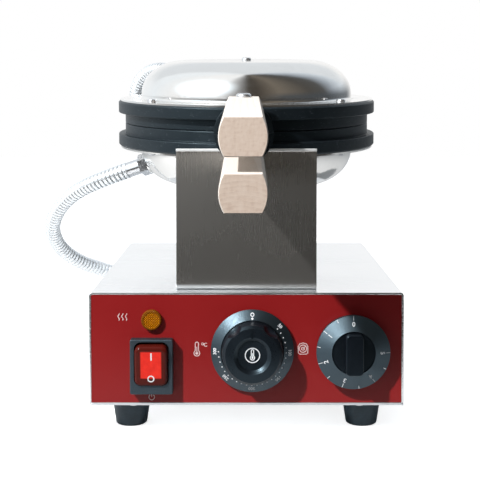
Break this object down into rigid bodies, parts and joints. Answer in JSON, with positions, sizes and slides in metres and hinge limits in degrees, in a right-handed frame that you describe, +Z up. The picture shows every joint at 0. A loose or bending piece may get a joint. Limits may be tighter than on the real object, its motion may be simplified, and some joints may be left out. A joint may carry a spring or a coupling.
{
  "type": "bubble waffle maker",
  "caption": "Countertop bubble waffle maker: hinged round iron with two handles that turns in a stand on a control base with dial, timer, switch and lamp.",
  "frame": {"origin": "centre of the machine's overall length and width on the surface that its feet stand on, hoses left out", "axes": "+X to the right seen from the front, +Y to the rear, +Z up"},
  "size_m": [0.3275, 0.534, 0.305],
  "materials": {
    "cover_steel": "satin brushed",
    "plate_steel": "satin",
    "stand_steel": "brushed",
    "dome_steel": "polished",
    "red_paint": "satin powder coat",
    "foot_rubber": "matte",
    "zinc_steel": "zinc plated",
    "black_plastic": "matte",
    "knob_plastic": "semi gloss",
    "dial_plastic": "matte with white numbers",
    "red_clear_plastic": "translucent",
    "red_plastic": "matte",
    "amber_plastic": "translucent",
    "lamp_plastic": "matte",
    "lamp_glass": "clear",
    "terminal_brass": "plain",
    "thermostat_steel": "zinc plated",
    "shaft_steel": "turned",
    "ceramic": "unglazed",
    "fitting_metal": "nickel plated",
    "black_nonstick": "cast, with a satin black non-stick coating",
    "heater_steel": "dull",
    "handle_wood": "satin",
    "hose_steel": "galvanised ribbed hose"
  },
  "bodies": {
    "base": {"base_cover": "cover_steel", "bottom_plate": "plate_steel", "front_panel": "red_paint", "rubber_feet": "foot_rubber", "foot_screws": "zinc_steel", "plate_screws": "zinc_steel", "iron_stand": "stand_steel", "stand_bolts": "zinc_steel", "switch_housing": "black_plastic", "switch_terminals": "terminal_brass", "pilot_lamp_lens": "amber_plastic", "pilot_lamp_body": "lamp_plastic", "pilot_lamp_bulb": "lamp_glass", "thermostat_body": "thermostat_steel", "timer_body": "thermostat_steel", "control_screws": "zinc_steel", "terminal_block": "ceramic", "mains_gland": "black_plastic", "lower_hose_elbow": "fitting_metal", "upper_hose_elbow": "fitting_metal", "lower_hose": "hose_steel", "upper_hose": "hose_steel"},
    "lower_iron": {"lower_mould": "black_nonstick", "lower_heater": "heater_steel", "lower_clamp_plate": "plate_steel", "lower_clamp_nut": "zinc_steel", "lower_dome": "dome_steel", "lower_dome_screws": "zinc_steel", "lower_centre_screw": "zinc_steel", "lower_handle": "handle_wood", "lower_handle_rod": "shaft_steel", "lower_handle_bolt": "zinc_steel", "lower_hose_fitting": "fitting_metal", "thermostat_bulb": "fitting_metal", "hinge_pin": "shaft_steel", "hinge_clip": "shaft_steel"},
    "upper_iron": {"upper_mould": "black_nonstick", "upper_heater": "heater_steel", "upper_clamp_plate": "plate_steel", "upper_clamp_nut": "zinc_steel", "upper_dome": "dome_steel", "upper_dome_screws": "zinc_steel", "upper_centre_screw": "zinc_steel", "upper_handle": "handle_wood", "upper_handle_rod": "shaft_steel", "upper_handle_bolt": "zinc_steel", "upper_hose_fitting": "fitting_metal"},
    "rocker_button": {"rocker": "red_clear_plastic", "rocker_diffuser": "red_plastic"},
    "thermostat_dial": {"thermostat_skirt": "dial_plastic", "thermostat_cap": "knob_plastic", "thermostat_shaft": "shaft_steel"},
    "timer_dial": {"timer_knob": "knob_plastic", "timer_shaft": "shaft_steel"}
  },
  "joints": [
    {"name": "flip", "type": "hinge", "parent": "base", "child": "lower_iron", "pos_m": [-0.002, 0.0719, 0.2462], "axis": [0, -0.9982, -0.0593], "range_deg": [-180, 0], "deforming": ["lower_hose", "upper_hose"]},
    {"name": "lid", "type": "hinge", "parent": "lower_iron", "child": "upper_iron", "pos_m": [-0.002, 0.21764, 0.25486], "axis": [-1, 0, 0], "range_deg": [0, 100], "deforming": ["upper_hose"]},
    {"name": "rocker_press", "type": "hinge", "parent": "base", "child": "rocker_button", "pos_m": [-0.075, -0.059, 0.0574], "axis": [-1, 0, 0], "range_deg": [0, 12]},
    {"name": "thermostat_turn", "type": "hinge", "parent": "base", "child": "thermostat_dial", "pos_m": [0.0047, -0.061, 0.0668], "axis": [0, -1, 0], "range_deg": [0, 270]},
    {"name": "timer_turn", "type": "hinge", "parent": "base", "child": "timer_dial", "pos_m": [0.0842, -0.061, 0.0668], "axis": [0, 1, 0], "range_deg": [0, 270]}
  ]
}
